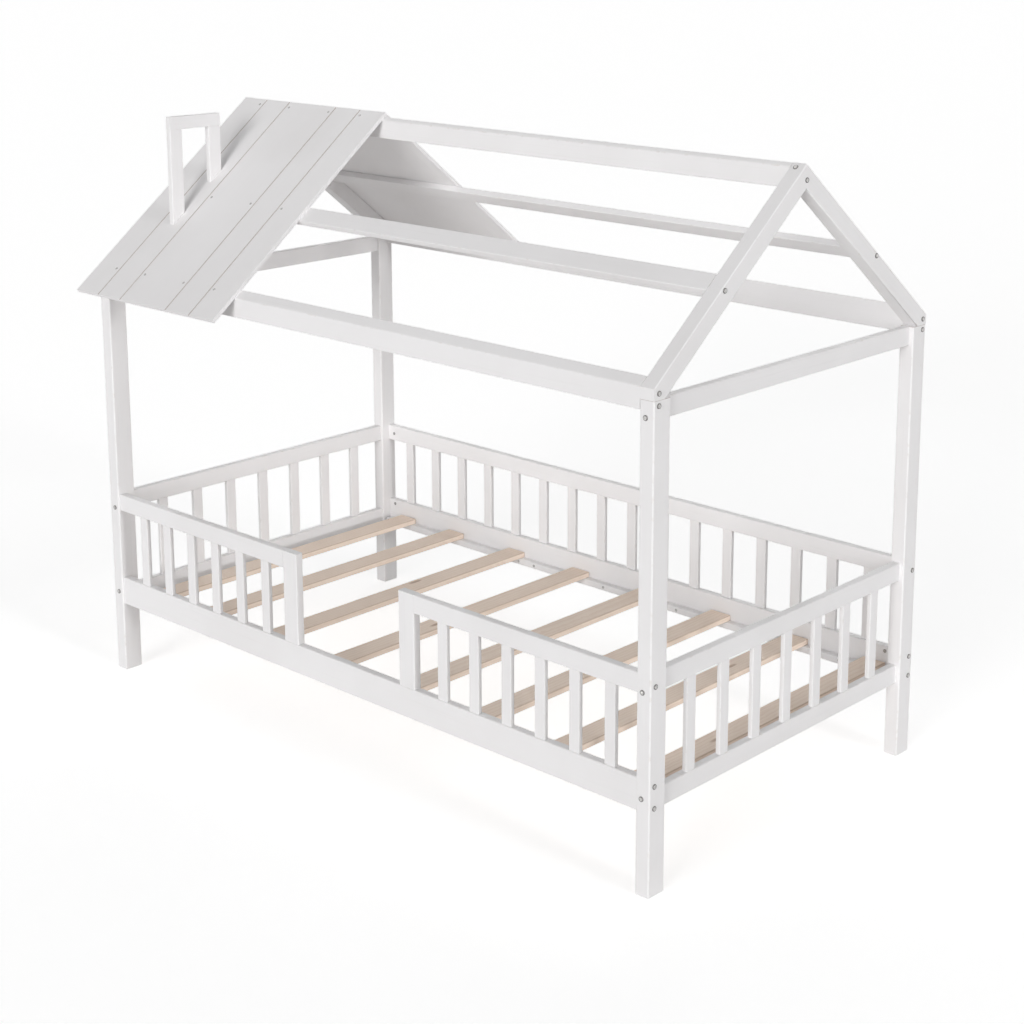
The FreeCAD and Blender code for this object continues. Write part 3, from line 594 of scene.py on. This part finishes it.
pine_light = (0.985, 0.835, 0.710, 1)
pine_dark = (0.860, 0.680, 0.550, 1)
pine_edge = (0.560, 0.410, 0.310, 1)
knot_brown = (0.480, 0.310, 0.210, 1)

def stretched(tree, place, factors):
    return put(tree, "ShaderNodeVectorMath", {0: place, 1: factors}, operation="MULTIPLY").outputs[0]


pine_figure, given, put_out = new_group(
    "pine_figure",
    [("Grain Place", "NodeSocketVector"), ("Board", "NodeSocketFloat"), ("Arris", "NodeSocketFloat")],
    [("Color", "NodeSocketColor"), ("Roughness", "NodeSocketFloat"), ("Height", "NodeSocketFloat")],
)
shifted = put(pine_figure, "ShaderNodeVectorMath",
              {0: (3.1, 0.37, 0.21), "Scale": given.outputs["Board"]}, operation="SCALE")
board_place = put(pine_figure, "ShaderNodeVectorMath",
                  {0: given.outputs["Grain Place"], 1: shifted.outputs[0]}, operation="ADD").outputs[0]
wander = put(pine_figure, "ShaderNodeTexNoise",
             {"Vector": stretched(pine_figure, board_place, (2.2, 14.0, 14.0)), "Scale": 1.0,
              "Detail": 3.0})
wander = put(pine_figure, "ShaderNodeVectorMath", {0: wander.outputs["Color"], "Scale": 0.030},
             operation="SCALE")
ring_place = put(pine_figure, "ShaderNodeVectorMath", {0: board_place, 1: wander.outputs[0]},
                 operation="ADD")
rings = put(pine_figure, "ShaderNodeTexWave",
            {"Vector": ring_place.outputs[0], "Scale": 34.0, "Distortion": 2.2, "Detail": 2.0,
             "Detail Scale": 1.5},
            wave_type="RINGS", rings_direction="X", wave_profile="SAW")
fibres = noise(pine_figure, stretched(pine_figure, board_place, (9.0, 620.0, 620.0)), 1.0, 4.0, 0.6)
knots = put(pine_figure, "ShaderNodeTexVoronoi",
            {"Vector": stretched(pine_figure, board_place, (3.2, 11.0, 11.0)), "Scale": 1.0,
             "Randomness": 1.0})
knot = between(pine_figure, knots.outputs["Distance"], 0.10, 0.05)
late = product(pine_figure, between(pine_figure, rings.outputs["Fac"], 0.30, 0.98), 0.42)
figure = mixed(pine_figure, late, pine_light, pine_dark)
streaks = product(pine_figure, between(pine_figure, fibres, 0.45, 0.75), 0.36)
figure = mixed(pine_figure, streaks, figure, pine_dark)
figure = mixed(pine_figure, product(pine_figure, knot, 0.75), figure, knot_brown)
figure = mixed(pine_figure, product(pine_figure, given.outputs["Arris"], 0.55), figure, pine_edge)
pine_figure.links.new(figure, put_out.inputs["Color"])
pine_figure.links.new(between(pine_figure, fibres, 0.3, 0.7, 0.55, 0.72), put_out.inputs["Roughness"])
relief = put(pine_figure, "ShaderNodeMath", {0: fibres, 1: 0.7, 2: product(pine_figure, late, 0.3)},
             operation="MULTIPLY_ADD")
pine_figure.links.new(relief.outputs[0], put_out.inputs["Height"])

bare_pine, tree = new_material("bare_pine")
place, along = grain_place(tree, (0, 0, quarter), 1.0, 1.0)
arris = put(tree, "ShaderNodeAttribute", attribute_name="arris")
board = put(tree, "ShaderNodeAttribute", attribute_name="board")
wood = put(tree, "ShaderNodeGroup", node_tree=pine_figure)
tree.links.new(along, wood.inputs["Grain Place"])
tree.links.new(board.outputs["Fac"], wood.inputs["Board"])
tree.links.new(arris.outputs["Fac"], wood.inputs["Arris"])
bump = put(tree, "ShaderNodeBump", {"Strength": 0.4, "Distance": 0.0005, "Height": wood.outputs["Height"]})
skin = put(tree, "ShaderNodeBsdfPrincipled",
           {"Base Color": wood.outputs["Color"], "Roughness": wood.outputs["Roughness"],
            "Specular IOR Level": 0.3, "Normal": bump.outputs["Normal"]})
put(tree, "ShaderNodeOutputMaterial", {"Surface": skin.outputs[0]})

slat_boards, sizes, slats_out = new_tree("slat_boards", [
    ("Geometry", "NodeSocketGeometry"), ("Width", "NodeSocketFloat"), ("Thickness", "NodeSocketFloat"),
    ("Length", "NodeSocketFloat"), ("Corner Radius", "NodeSocketFloat"), ("Figure Seed", "NodeSocketInt"),
    ("Pine", "NodeSocketMaterial")])
board_on_end = rounded_bar(slat_boards, sizes.outputs["Width"], sizes.outputs["Thickness"],
                           sizes.outputs["Corner Radius"], sizes.outputs["Length"])
half_back = put(slat_boards, "ShaderNodeMath", {0: sizes.outputs["Length"], 1: 0.5}, operation="MULTIPLY")
centring = put(slat_boards, "ShaderNodeCombineXYZ", {"Y": half_back.outputs[0]})
laid = put(slat_boards, "GeometryNodeTransform",
           {"Geometry": board_on_end, "Translation": centring.outputs[0], "Rotation": (quarter, 0, 0)})
boards = put(slat_boards, "GeometryNodeInstanceOnPoints",
             {"Points": sizes.outputs["Geometry"], "Instance": laid.outputs[0]})
chance = put(slat_boards, "FunctionNodeRandomValue", {"Seed": sizes.outputs["Figure Seed"]},
             data_type="FLOAT")
boards = put(slat_boards, "GeometryNodeStoreNamedAttribute",
             {"Geometry": boards.outputs[0], "Name": "board", "Value": chance.outputs[1]},
             data_type="FLOAT", domain="INSTANCE")
boards = put(slat_boards, "GeometryNodeRealizeInstances", {"Geometry": boards.outputs[0]})
boards = put(slat_boards, "GeometryNodeSetMaterial",
             {"Geometry": boards.outputs[0], "Material": sizes.outputs["Pine"]})
slat_boards.links.new(boards.outputs[0], slats_out.inputs[0])

slat_nodes = ["slat_%d" % number for number in range(1, 9)]
slat_low, slat_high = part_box(slat_nodes[0])
slat_middles = []
for node in slat_nodes:
    low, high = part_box(node)
    slat_middles.append(((low + high) / 2, (0, 0, 1)))
slat_size = slat_high - slat_low
slat_corner = 0.0022
shape = worked(slat_boards, marked(slat_middles), {
    "Width": slat_size.x, "Thickness": slat_size.z, "Length": slat_size.y,
    "Corner Radius": slat_corner, "Figure Seed": 3, "Pine": bare_pine})
fitted("pine_slats", eased(shape, slat_corner), bare_pine, "slat_pine", *slat_nodes)


# ---------------------------------------------------------------------------------------------
# The roof frame: four rafters with plumb heels on the posts and a plumb mitre at the ridge, a
# ridge beam, eave beams bevelled to the slope, purlins laid in the slope, and a tie beam across
# each gable. Planed and painted as the posts are, and bolted through the gable rafters.

slope = math.radians(38.83)
paint_up_front = white_paint("white_paint_up_front", (0, -slope, quarter))
paint_up_back = white_paint("white_paint_up_back", (0, -slope, -quarter))

for end in ("left", "right"):
    for side, finish in (("front", paint_up_front), ("back", paint_up_back)):
        node = "rafter_%s_%s" % (side, end)
        # The rafter heels' eased edges at the post top get the same painted shadow line.
        shape = seamed(rounded(sawn(node), arris_easing), post_top)
        fitted("gable_" + node, eased(shape), finish, "white_paint", node)
    planed("gable_tie_beam_" + end, "tie_beam_" + end, paint_crossways)
for node in ("ridge_beam", "eave_beam_front", "eave_beam_back", "purlin_front", "purlin_back"):
    planed("roof_" + node, node, paint_lengthways)


# ---------------------------------------------------------------------------------------------
# Two roof panels at the head end, each glued up from boards that run down the slope, with
# narrow V-joints between them. White paint, darkened brown in the joints as painted shade.
# Twelve countersunk screws in three rows hold each panel to the frame.

for side, finish in (("front", paint_up_front), ("back", paint_up_back)):
    node = "roof_panel_" + side
    shape = sawn(node)
    low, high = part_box(node)
    # The V-joint faces are marked for the paint's brown painted shade.
    joint = shape.faces.layers.float.new("joint")
    for face in shape.faces:
        middle = face.calc_center_median()
        if 0.3 < abs(face.normal.x) < 0.95 and low.x + 0.02 < middle.x < high.x - 0.02:
            face[joint] = 1.0
    fitted("boarded_panel_" + side, eased(rounded(shape, 0.0006)), finish, "white_paint", node)

panel_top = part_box("roof_panel_front")[1].z
screw_columns = (-0.915, -0.785, -0.615, -0.485)
screw_rows = (0.022, 0.384, 0.679)
marks = []
for side in (-1, 1):
    out = Vector((0, side * math.sin(slope), math.cos(slope)))
    for x in screw_columns:
        for down in screw_rows:
            marks.append(((x, side * down * math.cos(slope), panel_top - down * math.sin(slope)), out))
heads_fitted("roof_screws", screw_head, marks, 0.0076, 0.0007, zinc, "bolt_steel")


# ---------------------------------------------------------------------------------------------
# The chimney: a small frame of three battens that stands on the front panel, its legs cut to
# the slope and its top bar laid across them. Painted white.

for node, finish in (("chimney_leg_front", paint_upright), ("chimney_leg_back", paint_upright),
                     ("chimney_top_bar", paint_crossways)):
    planed("roof_" + node, node, finish, 1e-4)


# ---------------------------------------------------------------------------------------------
# The frame bolts and barrel nuts that hold the bed together: turned steel, low round heads with
# a hexagon socket, in the gable faces and in the front and back faces of the posts. The nuts'
# slotted ends show in the inner faces of the long rails.

bolt_head = turned_head(
    "bolt_head", [(0.47, 0.0), (0.50, 0.12), (0.50, 0.62), (0.47, 0.88), (0.42, 1.0), (0.33, 0.98)],
    hexagon, rim_inside=0.32)
bright_steel = steel("bright_steel", (0.74, 0.73, 0.72, 1), (0.48, 0.47, 0.46, 1))
head_diameter = 0.0126
head_height = 0.0025

gable_face = 1.0
corners = [(x, y) for x in (-1, 1) for y in (-1, 1)]
gable_places = [(0.0, 1.557)]
for y in (-1, 1):
    gable_places += [(y * 0.512, 0.500), (y * 0.512, 0.266), (y * 0.512, 0.214),
                     (y * 0.513, 1.130), (y * 0.513, 1.157), (y * 0.2943, 1.3456)]
marks = [((x * gable_face, y, z), (x, 0, 0)) for x in (-1, 1) for y, z in gable_places]
heads_fitted("gable_bolts", bolt_head, marks, head_diameter, head_height, bright_steel,
             "bolt_steel", "bolts_end")

post_face = 0.528
post_bolt_line = 0.977
post_bolt_heights = (0.485, 0.235, 1.103)
marks = [((x * post_bolt_line, y * post_face, z), (0, y, 0)) for x, y in corners for z in post_bolt_heights]
heads_fitted("post_bolts", bolt_head, marks, head_diameter, head_height, bright_steel,
             "bolt_steel", "bolts_side")

mitre_down = 0.015
ridge_height = 1.594
place = Vector((post_bolt_line, -mitre_down * math.cos(slope), ridge_height - mitre_down * math.sin(slope)))
marks = [(place, (0, -math.sin(slope), math.cos(slope)))]
heads_fitted("ridge_bolt", bolt_head, marks, head_diameter, head_height, bright_steel,
             "bolt_steel", "mitre_bolt")


def slot_end(angle):
    """Outline of the nut's cross hole."""
    return 0.24


nut_end = turned_head("nut_end", [(0.48, -0.5), (0.50, 0.2), (0.50, 0.7), (0.44, 1.0)], slot_end, 16)
rail_face = 0.501
nut_line = 0.935
nut_heights = (0.500, 0.266, 0.214)
marks = [((x * nut_line, y * rail_face, z), (0, -y, 0)) for x, y in corners for z in nut_heights]
heads_fitted("nut_ends", nut_end, marks, 0.0092, 0.0004, zinc, "bolt_steel", "barrel_nuts")

for head in (screw_head, bolt_head, nut_end):
    bpy.data.objects.remove(head)
